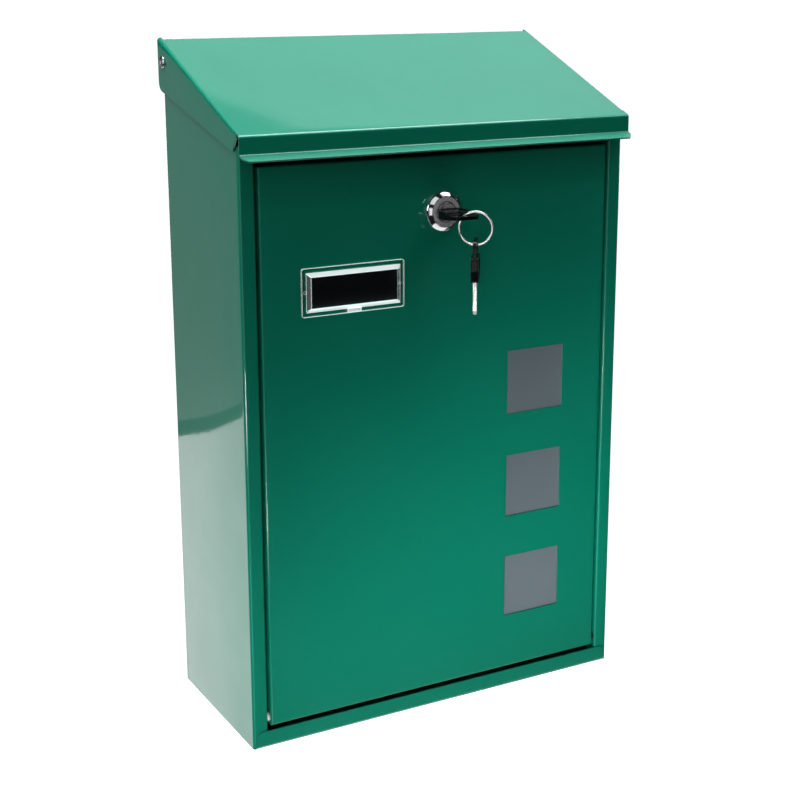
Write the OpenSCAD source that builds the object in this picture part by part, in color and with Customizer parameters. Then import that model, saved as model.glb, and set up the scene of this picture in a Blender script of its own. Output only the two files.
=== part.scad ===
// Wall post box: sheet steel housing, sloping lid over the mail slot, bottom-hinged
// door with a cam lock, name plate and three windows, and two keys on a ring.
// X runs across the box, -Y is the front, +Z is up. The origin lies on the wall,
// in the middle of the four wall screws.

/* [Housing] */
// Outside width of the housing
body_w = 220; // [180:1:300]
// Depth of the housing from the front plane to the back panel
body_d = 97; // [75:1:140]
// Height of the front frame
front_h = 311; // [250:1:400]
// Thickness of the steel sheet
sheet_t = 0.8; // [0.6:0.1:1]
// Bend radius at the middle of the sheet
bend_r = 1.2; // [0.8:0.1:1.4]
// Width of the frame strip on each side of the door
frame_w = 8.3; // [7:0.1:14]
// Depth of the edge folded inwards from the frame strip
frame_return = 8; // [6:0.5:12]
// Height of the lip that closes the foot of the frame
foot_lip_h = 9.1; // [7:0.1:14]
// Height of the flanges inside the bottom panel
foot_flange_h = 10; // [6:0.5:16]
// Height of the web of the top rail
rail_web_h = 8.3; // [6:0.1:12]
// Radius of the drain holes
drain_r = 3; // [1.5:0.1:4]

/* [Wall mounting] */
// Gap between the back panel and the wall
wall_gap = 8; // [7:0.5:14]
// Distance between the wall screws across the box
screw_x = 150; // [100:1:160]
// Distance between the wall screws up the box
screw_z = 250; // [150:1:250]
// Height of the screw pattern's centre above the base
screw_mid_z = 165; // [150:1:180]
// Radius of a wall screw hole
screw_r = 2.75; // [2:0.05:4]
// Radius of a mounting boss at the wall
boss_r = 9; // [7:0.5:12]
// How much wider a boss is at the back panel
boss_flare = 4; // [2:0.5:6]

/* [Lid] */
// Slope of the lid
lid_slope = 20.4; // [14:0.1:22]
// Height of the lid's outside above the frame, at the front plane
lid_rise = 7; // [6:0.1:10]
// How far the lid's front flange stands ahead of the frame
lid_nose = 4.6; // [3.5:0.1:8]
// How far the lid reaches behind the back panel
lid_tail = 3; // [2:0.1:3.5]
// Gap between a cheek and the side of the housing
cheek_gap = 0.5; // [0.4:0.05:1]
// Height of the front flange above the flared lip
lid_flange_h = 8.7; // [6:0.1:12]
// How far the flared lip stands out
lip_out = 6; // [3:0.1:9]
// How far the flared lip drops
lip_drop = 2.5; // [1:0.1:4]
// Corner radius of the flared lip
lip_r = 5; // [1:0.5:6]
// Height of a cheek at its front corner
cheek_front_h = 11; // [8:0.5:14]
// Height of a cheek at the back
cheek_rear_h = 26; // [22:0.5:40]
// Corner radius of a cheek
cheek_r = 5; // [2:0.5:8]
// Height of the hem at the back of the lid
hem_h = 5; // [3:0.5:7]
// Gap between the resting lid and the housing's upper edges
lid_rest_gap = 0.4; // [0.3:0.1:1]
// Distance from the back panel to the lid's pivot
pivot_in = 4.5; // [4:0.1:6]
// Distance from the lid's outside down to the pivot
pivot_drop = 9.1; // [8:0.1:12]
// Radius of a pivot rivet's shank
rivet_r = 2; // [1.5:0.1:2.5]
// Radius of a pivot rivet's head
rivet_head_r = 3.15; // [2.8:0.05:4]
// Thickness of the washer on each pivot rivet
washer_t = 0.4; // [0.3:0.05:0.4]

/* [Door] */
// Gap on each side of the door
door_gap = 1.6; // [1:0.1:2.5]
// Gap above and below the door
door_gap_z = 2; // [1.5:0.1:3]
// Depth of the door's folded edges
door_return = 10; // [8:0.5:12]
// Bend radius of the door's edges at the middle of the sheet
door_bend_r = 0.8; // [0.6:0.1:1.2]
// Distance of the hinge axis behind the front plane
hinge_in = 3; // [2.8:0.1:4]
// Distance of the hinge axis above the door's lower edge
hinge_up = 4.4; // [3.5:0.1:5]
// Radius of a hinge pin
hinge_r = 1.5; // [1:0.1:2]
// Radial clearance between a turning pin or plug and its hole
turn_gap = 0.05; // [0.03:0.01:0.1]

/* [Windows] */
// Side of a square window
window = 35; // [20:1:45]
// Number of windows
window_count = 3; // [1:1:4]
// Distance from one window to the next, centre to centre
window_pitch = 58.4; // [48:0.1:62]
// Distance from the windows to the door's right edge
window_inset = 25; // [18:1:60]
// Height of the lowest window's centre above the door's lower edge
window_low = 48.6; // [35:0.1:60]
// Thickness of the frosted strip
pane_t = 1.5; // [1:0.1:3]
// How far the strip reaches past the windows
pane_margin = 5; // [3:0.5:8]

/* [Name plate] */
// Width of the name plate cover
plate_w = 56.3; // [40:0.1:70]
// Height of the name plate cover
plate_h = 24.4; // [18:0.1:32]
// Distance from the cover to the door's left edge
plate_inset = 21.2; // [15:0.1:30]
// Distance from the cover to the door's top edge
plate_drop = 50.8; // [40:0.1:60]
// Thickness of the cover's base flange
plate_base_t = 1; // [0.8:0.1:1.5]
// Height of the cover's raised block above the door
plate_block_t = 3.4; // [2.8:0.1:5]
// Width of the flange around the raised block
plate_rim = 1.6; // [1.4:0.1:3]
// How far the raised block's sides slope inwards
plate_bevel = 2.4; // [1:0.1:3]
// Wall thickness of the raised block
plate_wall = 1.2; // [0.8:0.1:1.5]
// Width of the thumb tab at the cover's lower edge
thumb_w = 7; // [5:0.5:12]
// Radius of the pegs that hold the cover
peg_r = 0.8; // [0.6:0.1:0.8]
// Thickness of the card
card_t = 0.4; // [0.2:0.1:0.8]

/* [Lock] */
// Distance from the lock's centre to the door's top edge
lock_drop = 28.1; // [24:0.1:40]
// Outside radius of the bezel
bezel_r = 10.5; // [10:0.1:13]
// How far the bezel stands out
bezel_t = 4; // [2.5:0.1:5]
// Radius of the lock housing behind the bezel
barrel_r = 9; // [8.6:0.1:9.4]
// Distance between the flats of the lock housing
barrel_flat = 15.8; // [15.2:0.1:16.4]
// Length of the lock housing behind the front plane
barrel_len = 16; // [16:0.5:22]
// Radius of the plug
plug_r = 6.5; // [6:0.1:6.8]
// Radius of the plug's visible face
plug_face_r = 7.5; // [7.2:0.1:7.8]
// Thickness of the plug's face flange
plug_face_t = 1.2; // [0.8:0.1:1.6]
// Width of the key slot
slot_w = 7.4; // [7.2:0.1:8]
// Height of the key slot
slot_h = 2.4; // [2.3:0.1:2.6]
// Thickness of the cam
cam_t = 1.8; // [1.5:0.1:2.5]
// Width of the cam
cam_w = 14; // [12:0.5:15]
// How far the locked cam reaches up behind the rail's lip
cam_catch = 5.6; // [4:0.1:6]
// Gap between the locked cam and the rail's lip
cam_gap = 0.5; // [0.4:0.1:1]
// Side of the plug's square end
drive_w = 7; // [6:0.1:8]
// Number of wafers
wafer_count = 4; // [3:1:4]

/* [Keys] */
// Length of a key's blade outside its head
blade_len = 17; // [14:0.5:17]
// Width of a key's blade
blade_w = 6.8; // [6:0.1:6.8]
// Thickness of a key's blade
blade_t = 2; // [1.6:0.1:2]
// Length of a key's head
head_len = 21.5; // [19:0.5:26]
// Width of a key's head
head_w = 15.6; // [14:0.1:18]
// Thickness of a key's head
head_t = 3.8; // [3.4:0.1:4.4]
// Length of the thinner tab at the end of a head
tab_len = 8.5; // [8:0.1:10]
// Thickness of the tab
tab_t = 2.2; // [2:0.1:2.4]
// Radius of the hole in the tab
eye_r = 2.6; // [2.4:0.1:2.8]
// Distance from the end of the head to the hole's centre
eye_in = 4.7; // [4.4:0.1:5.2]
// Mean radius of the split ring
ring_r = 8.3; // [8:0.1:12]
// Radial thickness of the split ring
ring_t = 1.3; // [1:0.1:1.4]
// Width of the split ring along its axis
ring_w = 1.6; // [1.2:0.1:1.8]
// Direction of the split ring, seen from above, from the X axis towards the front
ring_yaw = 34; // [20:1:50]
// How far the split ring's centre hangs below the level of its hole
ring_dip = 41.5; // [35:0.5:45]

/* [Hidden] */
$fn = 64;

green = [0.01, 0.42, 0.34];
steel = [0.78, 0.79, 0.8];
half_t = sheet_t / 2;
bend_steps = 8;
eps = 0.01;
cut_over = 50;

// Housing
half_w = body_w / 2;
half_in = half_w - sheet_t;
opening_half = half_w - frame_w;
lap = 0.1;
lid_face_0 = front_h + lid_rise;
lid_thick_z = sheet_t / cos(lid_slope);
rail_y = 2 * half_t + half_t;
rail_low = front_h - rail_web_h;
foot_lip_half = half_w - 2;
foot_corner_r = 3;
front_notch = 6;
drain_in = 25;

// Lid
lid_half = half_w + cheek_gap + sheet_t;
pivot_y = body_d - pivot_in;
pivot_z = lid_face(pivot_y) - pivot_drop;
lid_reach = pivot_drop * cos(lid_slope) - sheet_t - lid_rest_gap;
wall_top = pivot_z + sqrt(lid_reach * lid_reach - pivot_in * pivot_in) - lap;

cheek_setback = 2.2;
flange_end = lid_half - half_t;

// Door
door_w = 2 * (opening_half - door_gap);
door_low = foot_lip_h + door_gap_z;
door_top = rail_low - door_gap_z;
door_h = door_top - door_low;
hinge_z = door_low + hinge_up;
pin_collar_r = hinge_r + 0.9;
pin_collar_gap = 0.3;
pin_reach = 3;

// Windows
window_mid_x = door_w / 2 - window_inset - window / 2;
window_mid_z = door_low + window_low;
window_span = (window_count - 1) * window_pitch + window;
pane_w = window + 2 * pane_margin;
pane_h = window_span + 2 * pane_margin;
pane_mid_z = window_mid_z + (window_count - 1) * window_pitch / 2;
lug_w = 8;
lug_over = 2;
lug_gap = 0.2;

// Name plate
plate_x = -door_w / 2 + plate_inset + plate_w / 2;
plate_z = door_top - plate_drop - plate_h / 2;
block_w = plate_w - 2 * plate_rim;
block_h = plate_h - 2 * plate_rim;
thumb_in = 0.4;
thumb_t = 1.2;
thumb_lap = 0.9;
plate_corner_r = 1.2;
peg_x = block_w / 2 - plate_wall / 2;
peg_len = sheet_t + 2.2;
peg_gap = 0.1;
clip_r = 3.6;
clip_t = 0.6;
card_gap = 0.3;

// Lock
lock_z = door_top - lock_drop;
lock_fit = 0.15;
nut_af = 22;
nut_t = 3.5;
cam_y = barrel_len + 0.4;
rail_depth = cam_y - cam_gap;
cam_reach = lock_drop + door_gap_z + cam_catch;
cam_fit = 0.05;
drive_end = cam_y + cam_t - 0.1;
cam_washer_r = 5.5;
cam_washer_t = 0.8;
cam_screw_r = 2;
cam_screw_head_r = 4;
cam_screw_head_t = 2.2;
cam_screw_in = 4;
plug_front = -bezel_t - 0.2;
slot_end = plug_front + blade_len + 0.6;
wafer_t = 0.8;
wafer_fit = 0.05;
wafer_pitch = 2.6;
wafer_first = 1;
wafer_half_w = 5.6;
wafer_half_h = 3;

// Keys
key_face_y = plug_front - 0.1;
eye_y = key_face_y - head_len + eye_in;
ring_h = ring_r * cos(ring_dip);
ring_mid = [ring_h * cos(ring_yaw), eye_y - ring_h * sin(ring_yaw), lock_z - ring_r * sin(ring_dip)];
hang_gap = 0.2;
eye_2_z = ring_mid.z - ring_r - (eye_r - ring_t / 2 - hang_gap);
neck_w = 11;
stem_len = 6;

// Height of the lid's outside at a distance y behind the front plane
function lid_face(y) = lid_face_0 + tan(lid_slope) * y;
// Height of the middle of the lid's sheet
function lid_mid(y) = lid_face(y) - lid_thick_z / 2;
// Height of the housing's upper edge under the resting lid
function side_top(y) = lid_face(y) - lid_thick_z - lid_rest_gap / cos(lid_slope);

function unit(v) = v / norm(v);
function left_of(v) = [-v.y, v.x];
function turned(v, a) = [v.x * cos(a) - v.y * sin(a), v.x * sin(a) + v.y * cos(a)];
function turn_angle(a, b) = atan2(a.x * b.y - a.y * b.x, a.x * b.x + a.y * b.y);

// Points and left-hand normals round the bend at p, between the points before and after it
function bend(before, p, after, r) =
    let (
        d0 = unit(p - before),
        a = turn_angle(d0, unit(after - p)),
        side = sign(a),
        centre = p - d0 * r * tan(abs(a) / 2) + left_of(d0) * r * side
    )
    [for (k = [0:bend_steps])
        let (n = turned(left_of(d0), a * k / bend_steps))
        [centre - n * r * side, n]];

// Outline of a folded sheet whose middle follows the path
function fold_points(path, r) = [
    [path[0], left_of(unit(path[1] - path[0]))],
    for (i = [1:len(path) - 2]) each bend(path[i - 1], path[i], path[i + 1], r),
    [path[len(path) - 1], left_of(unit(path[len(path) - 1] - path[len(path) - 2]))]
];

// Section of a folded sheet
module fold(path, r = bend_r, t = sheet_t) {
    pts = fold_points(path, r);
    last = len(pts) - 1;
    polygon([
        for (q = pts) q[0] + q[1] * t / 2,
        for (i = [0:last]) pts[last - i][0] - pts[last - i][1] * t / 2
    ]);
}

// Closed outline with a radius at each corner
module rounded_outline(pts, radii) {
    n = len(pts);
    polygon([
        for (i = [0:n - 1])
            each radii[i] == 0
                ? [pts[i]]
                : [for (q = bend(pts[(i + n - 1) % n], pts[i], pts[(i + 1) % n], radii[i])) q[0]]
    ]);
}

// Rounded rectangle about the origin
module rounded_rect(w, h, r) {
    rounded_outline(
        [[-w / 2, -h / 2], [w / 2, -h / 2], [w / 2, h / 2], [-w / 2, h / 2]],
        [r, r, r, r]
    );
}

// Places what is drawn from the front plane and the base in the frame of the wall screws
module in_body() {
    translate([0, -body_d - wall_gap, -screw_mid_z]) children();
}

// Extrudes an outline drawn in X and Z from y0 back to y1
module along_y(y0, y1) {
    translate([0, y1, 0]) rotate([90, 0, 0]) linear_extrude(y1 - y0) children();
}

// Extrudes an outline drawn in Y and Z from x0 to x1
module along_x(x0, x1) {
    translate([x0, 0, 0]) rotate([90, 0, 90]) linear_extrude(x1 - x0) children();
}

// Rod along Y
module rod_y(r, y0, y1) {
    translate([0, y0, 0]) rotate([-90, 0, 0]) cylinder(r = r, h = y1 - y0);
}

// Rod along X
module rod_x(r, x0, x1) {
    translate([x0, 0, 0]) rotate([0, 90, 0]) cylinder(r = r, h = x1 - x0);
}

// Block between two corners
module block(low, high) {
    translate(low) cube(high - low);
}

// Draws a right-hand piece and its mirror image
module both_sides() {
    children();
    mirror([1, 0, 0]) children();
}

// Places a copy at each wall screw
module at_screws() {
    for (sx = [-1, 1])
        for (sz = [-1, 1])
            translate([sx * screw_x / 2, 0, screw_mid_z + sz * screw_z / 2])
                children();
}

// Hollow boss pressed out of the back panel, from the panel's inner face
module wall_boss() {
    rim = boss_r + boss_flare;
    rotate([-90, 0, 0])
        rotate_extrude()
            polygon([
                [screw_r, wall_gap],
                [boss_r, wall_gap],
                [rim, 0],
                [rim + 2 * sheet_t, 0],
                [rim + 2 * sheet_t, sheet_t],
                [rim + half_t, sheet_t],
                [boss_r + half_t, wall_gap + sheet_t],
                [screw_r, wall_gap + sheet_t]
            ]);
}

// Sides, back and frame strips folded from one sheet
module housing_wrap() {
    edge = opening_half + half_t;
    wall = half_w - half_t;
    back = body_d - half_t;
    level_y = (wall_top - side_top(0)) / tan(lid_slope);
    high = wall_top + cut_over;
    color(green)
    in_body()
    difference() {
        union() {
            difference() {
                linear_extrude(wall_top)
                    fold([
                        [-edge, frame_return],
                        [-edge, half_t],
                        [-wall, half_t],
                        [-wall, back],
                        [wall, back],
                        [wall, half_t],
                        [edge, half_t],
                        [edge, frame_return]
                    ]);
                translate([0, body_d, 0])
                    at_screws()
                        rod_y(boss_r + boss_flare + sheet_t, -2 * sheet_t, sheet_t);
            }
            translate([0, body_d - sheet_t, 0])
                at_screws()
                    wall_boss();
        }
        along_x(-half_w - 1, half_w + 1)
            polygon([
                [-1, front_h],
                [front_notch, front_h],
                [front_notch, side_top(front_notch)],
                [level_y, wall_top],
                [level_y, high],
                [-1, high]
            ]);
        block(
            [-half_w + 2 * sheet_t, -1, -1],
            [half_w - 2 * sheet_t, frame_return + 1, sheet_t + lap]
        );
        block(
            [-opening_half - 3 * sheet_t, sheet_t, rail_low - 1],
            [opening_half + 3 * sheet_t, frame_return + 1, high]
        );
        translate([0, hinge_in, hinge_z])
            rod_x(hinge_r, -edge - 1, edge + 1);
        translate([0, pivot_y, pivot_z])
            rod_x(rivet_r, -half_w - 1, half_w + 1);
    }
}

// Bottom plate with flanges inside the wrap and a lip in front of the frame strips
module bottom_panel() {
    side = half_in - half_t;
    back = body_d - sheet_t - half_t;
    color(green)
    in_body()
    difference() {
        union() {
            along_y(frame_return, back - bend_r)
                fold([
                    [-side, foot_flange_h],
                    [-side, half_t],
                    [side, half_t],
                    [side, foot_flange_h]
                ]);
            along_x(-side + 2 * bend_r, side - 2 * bend_r)
                fold([
                    [frame_return, half_t],
                    [back, half_t],
                    [back, foot_flange_h]
                ]);
            intersection() {
                along_x(-foot_lip_half, foot_lip_half)
                    fold([
                        [-half_t, foot_lip_h],
                        [-half_t, half_t],
                        [frame_return + 1, half_t]
                    ]);
                along_y(-sheet_t - 1, frame_return + 2)
                    rounded_outline(
                        [
                            [-foot_lip_half, -1],
                            [foot_lip_half, -1],
                            [foot_lip_half, foot_lip_h],
                            [-foot_lip_half, foot_lip_h]
                        ],
                        [0, 0, foot_corner_r, foot_corner_r]
                    );
            }
        }
        for (sx = [-1, 1])
            for (y = [drain_in, body_d - drain_in])
                translate([sx * (half_w - drain_in), y, -1])
                    cylinder(r = drain_r, h = 2 + sheet_t);
    }
}

// Folded rail across the top of the door opening, with the lip the cam catches behind
module front_top_rail() {
    top = front_h + half_t - lap;
    color(green)
    in_body()
    along_x(-half_in, half_in)
        fold([
            [rail_y, rail_low],
            [rail_y, top],
            [rail_depth - half_t, top],
            [rail_depth - half_t, rail_low]
        ]);
}

// Pins pressed into the frame's folded edges, with a collar in the gap beside the door
module door_hinge_pins() {
    edge = opening_half;
    door_edge = door_w / 2;
    color("white")
    in_body()
    translate([0, hinge_in, hinge_z])
    both_sides() {
        rod_x(hinge_r, door_edge - sheet_t - pin_reach, edge + sheet_t + pin_reach);
        rod_x(pin_collar_r, door_edge + pin_collar_gap, edge);
    }
}

// Blind rivets that the lid turns on
module lid_pivot_rivets() {
    tail_t = 1.6;
    tail_r = rivet_r + 0.9;
    head_gap = 0.1;
    head_t = 1.3;
    hollow_r = 1;
    hollow_in = 0.4;
    inner = -cheek_gap - 2 * sheet_t;
    color(steel)
    in_body()
    both_sides()
    translate([lid_half, pivot_y, pivot_z])
    rotate([0, 90, 0])
    rotate_extrude()
        polygon([
            [0, inner - tail_t],
            [tail_r, inner - tail_t],
            [tail_r, inner],
            [rivet_r, inner],
            [rivet_r, head_gap],
            [rivet_head_r, head_gap],
            [rivet_head_r, head_gap + head_t * 0.3],
            [rivet_head_r * 0.85, head_gap + head_t * 0.7],
            [rivet_head_r * 0.6, head_gap + head_t],
            [hollow_r, head_gap + head_t],
            [hollow_r, hollow_in],
            [0, hollow_in]
        ]);
}

// Thin washers between the cheeks and the housing
module lid_pivot_washers() {
    washer_r = 5;
    color(steel)
    in_body()
    translate([0, pivot_y, pivot_z])
    both_sides()
    difference() {
        rod_x(washer_r, half_w, half_w + washer_t);
        rod_x(rivet_r, half_w - 1, half_w + 1);
    }
}

// Lid with sloping top, cheeks, front flange, flared lip and rear hem
module lid() {
    tail = body_d + lid_tail;
    wall = lid_half - half_t;
    deep = cheek_rear_h + cut_over;
    over = 5;
    cheek_nose = 1.5;
    cheek_foot = 1.9;
    cheek_foot_in = 1;
    cheek_front_r = 1.5;
    hem_cut_low = 3;
    flare_deep = 10;
    hem_half = lid_half - 3 * sheet_t;
    hem_y = tail - half_t;
    nose_y = -lid_nose + half_t;
    flange_low = lid_mid(nose_y) - lid_flange_h;
    lip_y = nose_y - lip_out;
    color(green)
    in_body()
    difference() {
        union() {
            difference() {
                intersection() {
                    translate([0, 0, lid_face_0])
                        rotate([lid_slope, 0, 0])
                            along_y(-cut_over, body_d + cut_over)
                                fold([
                                    [-wall, -deep],
                                    [-wall, -half_t],
                                    [wall, -half_t],
                                    [wall, -deep]
                                ]);
                    along_x(-lid_half - 1, lid_half + 1)
                        rounded_outline(
                            [
                                [tail, lid_face(tail) + over],
                                [-cheek_setback, lid_face(-cheek_setback) + over],
                                [-cheek_setback, lid_face(-cheek_setback) - cheek_nose],
                                [
                                    cheek_setback + cheek_foot_in,
                                    lid_face(-cheek_setback) - cheek_front_h + cheek_foot
                                ],
                                [tail, lid_face(tail) - cheek_rear_h]
                            ],
                            [0, 0, 0, cheek_front_r, cheek_r]
                        );
                }
                block(
                    [-hem_half, hem_y - 2 * bend_r, lid_face(hem_y) - hem_cut_low],
                    [hem_half, tail + 1, lid_face(tail) + over]
                );
            }
            along_x(-hem_half, hem_half)
                fold([
                    [hem_y - 4 * bend_r, lid_mid(hem_y - 4 * bend_r)],
                    [hem_y, lid_mid(hem_y)],
                    [hem_y, lid_mid(hem_y) - hem_h]
                ]);
            intersection() {
                along_x(-flange_end, flange_end)
                    fold([
                        [1, lid_mid(1)],
                        [nose_y, lid_mid(nose_y)],
                        [nose_y, flange_low],
                        [lip_y, flange_low - lip_drop]
                    ]);
                linear_extrude(lid_face(tail))
                    rounded_outline(
                        [
                            [-flange_end, lip_y - half_t],
                            [flange_end, lip_y - half_t],
                            [flange_end, flare_deep],
                            [-flange_end, flare_deep]
                        ],
                        [lip_r, lip_r, 0, 0]
                    );
            }
        }
        translate([0, pivot_y, pivot_z])
            rod_x(rivet_r + turn_gap, -lid_half - 1, lid_half + 1);
    }
}

// Block whose four front edges are rounded
module door_block(w, h, d, r) {
    intersection() {
        linear_extrude(h)
            rounded_outline([[-w / 2, 0], [w / 2, 0], [w / 2, d], [-w / 2, d]], [r, r, 0, 0]);
        along_x(-w / 2, w / 2)
            rounded_outline([[0, 0], [d, 0], [d, h], [0, h]], [r, 0, 0, r]);
    }
}

// Small hooked lug that holds the edge of the frosted strip
module pane_lug() {
    reach = lug_gap + sheet_t;
    block([lug_gap, sheet_t - eps, -lug_w / 2], [reach, 2 * sheet_t + pane_t + lug_gap, lug_w / 2]);
    block(
        [-lug_over, sheet_t + pane_t + lug_gap, -lug_w / 2],
        [reach, 2 * sheet_t + pane_t + lug_gap, lug_w / 2]
    );
}

// Round section of the lock housing with two flats, in X and Z
module barrel_section(r, flat) {
    intersection() {
        circle(r = r);
        square([2 * r, flat], center = true);
    }
}

// Door with folded edges, windows and the holes for what it carries
module door_panel() {
    color(green)
    in_body()
    difference() {
        union() {
            difference() {
                translate([0, 0, door_low])
                    door_block(door_w, door_h, door_return, door_bend_r + half_t);
                translate([0, sheet_t, door_low + sheet_t])
                    door_block(
                        door_w - 2 * sheet_t,
                        door_h - 2 * sheet_t,
                        door_return,
                        door_bend_r - half_t
                    );
            }
            translate([window_mid_x, 0, pane_mid_z])
                both_sides()
                    for (z = [-pane_h / 2 + lug_w, 0, pane_h / 2 - lug_w])
                        translate([pane_w / 2, 0, z])
                            pane_lug();
        }
        for (i = [0:window_count - 1])
            translate([window_mid_x, 0, window_mid_z + i * window_pitch])
                block([-window / 2, -1, -window / 2], [window / 2, 2 * sheet_t, window / 2]);
        for (side = [-1, 1])
            translate([plate_x + side * peg_x, 0, plate_z])
                rod_y(peg_r + peg_gap, -1, 2 * sheet_t);
        translate([0, 0, lock_z])
            along_y(-1, 2 * sheet_t)
                barrel_section(barrel_r + lock_fit, barrel_flat + 2 * lock_fit);
        translate([0, hinge_in, hinge_z])
            rod_x(hinge_r + turn_gap, -door_w / 2 - 1, door_w / 2 + 1);
    }
}

// Frosted strip behind the windows
module window_strip() {
    color([0.5, 0.54, 0.55])
    in_body()
    translate([window_mid_x, sheet_t, pane_mid_z])
        block([-pane_w / 2, 0, -pane_h / 2], [pane_w / 2, pane_t, pane_h / 2]);
}

// Block with sloping sides that stands forward from the door
module bevelled_block(w, h, t, bevel) {
    intersection() {
        translate([0, 0, -h / 2])
            linear_extrude(h)
                polygon([
                    [-w / 2, 0],
                    [w / 2, 0],
                    [w / 2 - bevel, -t],
                    [-w / 2 + bevel, -t]
                ]);
        along_x(-w / 2, w / 2)
            polygon([[0, -h / 2], [0, h / 2], [-t, h / 2 - bevel], [-t, -h / 2 + bevel]]);
    }
}

// Clear cover over the name card, with a thumb tab and two pegs
module name_plate_cover() {
    color([0.9, 0.95, 0.95, 0.5])
    in_body()
    translate([plate_x, 0, plate_z])
    difference() {
        union() {
            along_y(-plate_base_t, 0)
                rounded_rect(plate_w, plate_h, plate_corner_r);
            bevelled_block(block_w, block_h, plate_block_t, plate_bevel);
            block(
                [-thumb_w / 2, -plate_base_t - thumb_t, -plate_h / 2 + thumb_in],
                [thumb_w / 2, -plate_base_t / 2, -block_h / 2 + thumb_lap]
            );
            for (side = [-1, 1])
                translate([side * peg_x, 0, 0])
                    rod_y(peg_r, -plate_base_t, peg_len);
        }
        translate([0, eps, 0])
            bevelled_block(
                block_w - 2 * plate_wall,
                block_h - 2 * plate_wall,
                plate_block_t - plate_wall,
                plate_bevel * (plate_block_t - plate_wall) / plate_block_t
            );
    }
}

// Card under the cover
module name_card() {
    color([0.02, 0.02, 0.03])
    in_body()
    translate([plate_x, 0, plate_z])
        block(
            [-block_w / 2 + plate_wall + card_gap, -card_t, -block_h / 2 + plate_wall + card_gap],
            [block_w / 2 - plate_wall - card_gap, 0, block_h / 2 - plate_wall - card_gap]
        );
}

// Push-on clips that hold the cover's pegs behind the door
module name_plate_clips() {
    color(steel)
    in_body()
    for (side = [-1, 1])
        translate([plate_x + side * peg_x, 0, plate_z])
            difference() {
                rod_y(clip_r, sheet_t, sheet_t + clip_t);
                rod_y(peg_r, 0, 2 * sheet_t + clip_t);
            }
}

// Lock housing with its conical bezel
module lock_housing() {
    face_in = plug_front + plug_face_t + 2 * turn_gap;
    bezel_lip = 1;
    color(steel)
    in_body()
    translate([0, 0, lock_z])
    difference() {
        union() {
            rotate([-90, 0, 0])
                rotate_extrude()
                    polygon([
                        [0, -bezel_t],
                        [plug_face_r + bezel_lip, -bezel_t],
                        [bezel_r, -bezel_t * 0.3],
                        [bezel_r, 0],
                        [0, 0]
                    ]);
            along_y(-1, barrel_len)
                barrel_section(barrel_r, barrel_flat);
        }
        rod_y(plug_r + turn_gap, -bezel_t - 1, barrel_len + 1);
        rod_y(plug_face_r + turn_gap, -bezel_t - 1, face_in);
    }
}

// Hexagonal nut that clamps the lock housing behind the door
module lock_nut() {
    nut_fit = 0.05;
    color(steel)
    in_body()
    translate([0, 0, lock_z])
    along_y(sheet_t, sheet_t + nut_t)
    difference() {
        circle(d = nut_af / cos(30), $fn = 6);
        circle(r = barrel_r + nut_fit);
    }
}

// Place of each wafer along the plug
function wafer_y(i) = wafer_first + i * wafer_pitch;

// Plug with face flange, key slot, wafer slots and square end
module lock_plug() {
    color(steel)
    in_body()
    translate([0, 0, lock_z])
    difference() {
        union() {
            rod_y(plug_face_r, plug_front, plug_front + plug_face_t);
            rod_y(plug_r, plug_front, barrel_len + 0.2);
            along_y(barrel_len, drive_end)
                square(drive_w, center = true);
        }
        block([-slot_w / 2, plug_front - 1, -slot_h / 2], [slot_w / 2, slot_end, slot_h / 2]);
        for (i = [0:wafer_count - 1])
            block(
                [-wafer_half_w - wafer_fit, wafer_y(i) - wafer_fit, -wafer_half_h - wafer_fit],
                [wafer_half_w + wafer_fit, wafer_y(i) + wafer_t + wafer_fit, wafer_half_h + wafer_fit]
            );
        rod_y(cam_screw_r, drive_end - cam_screw_in, drive_end + 1);
    }
}

// Wafers inside the plug, each open for the key's blade
module lock_wafers() {
    color("goldenrod")
    in_body()
    translate([0, 0, lock_z])
    for (i = [0:wafer_count - 1])
        translate([0, wafer_y(i), 0])
            difference() {
                block([-wafer_half_w, 0, -wafer_half_h], [wafer_half_w, wafer_t, wafer_half_h]);
                block([-slot_w / 2, -1, -slot_h / 2], [slot_w / 2, wafer_t + 1, slot_h / 2]);
            }
}

// Cam, shown turned to the side in its unlocked place
module lock_cam() {
    color(steel)
    in_body()
    translate([0, 0, lock_z])
    along_y(cam_y, cam_y + cam_t)
    difference() {
        union() {
            circle(d = cam_w);
            rounded_outline(
                [[0, -cam_w / 2], [cam_reach, -cam_w / 2], [cam_reach, cam_w / 2], [0, cam_w / 2]],
                [0, 2, 2, 0]
            );
        }
        square(drive_w + 2 * cam_fit, center = true);
    }
}

// Washer under the cam screw
module cam_washer() {
    y0 = cam_y + cam_t;
    color(steel)
    in_body()
    translate([0, 0, lock_z])
    difference() {
        rod_y(cam_washer_r, y0, y0 + cam_washer_t);
        rod_y(cam_screw_r, y0 - 1, y0 + 2 * cam_washer_t);
    }
}

// Screw that holds the cam
module cam_screw() {
    y0 = cam_y + cam_t + cam_washer_t;
    slot_deep = 1;
    slot_wide = 1;
    color(steel)
    in_body()
    translate([0, 0, lock_z])
    difference() {
        union() {
            rod_y(cam_screw_r, drive_end - cam_screw_in + 0.2, y0 + 1);
            rod_y(cam_screw_head_r, y0, y0 + cam_screw_head_t);
        }
        block(
            [-cam_screw_head_r - 1, y0 + cam_screw_head_t - slot_deep, -slot_wide / 2],
            [cam_screw_head_r + 1, y0 + cam_screw_head_t + 1, slot_wide / 2]
        );
    }
}

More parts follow.
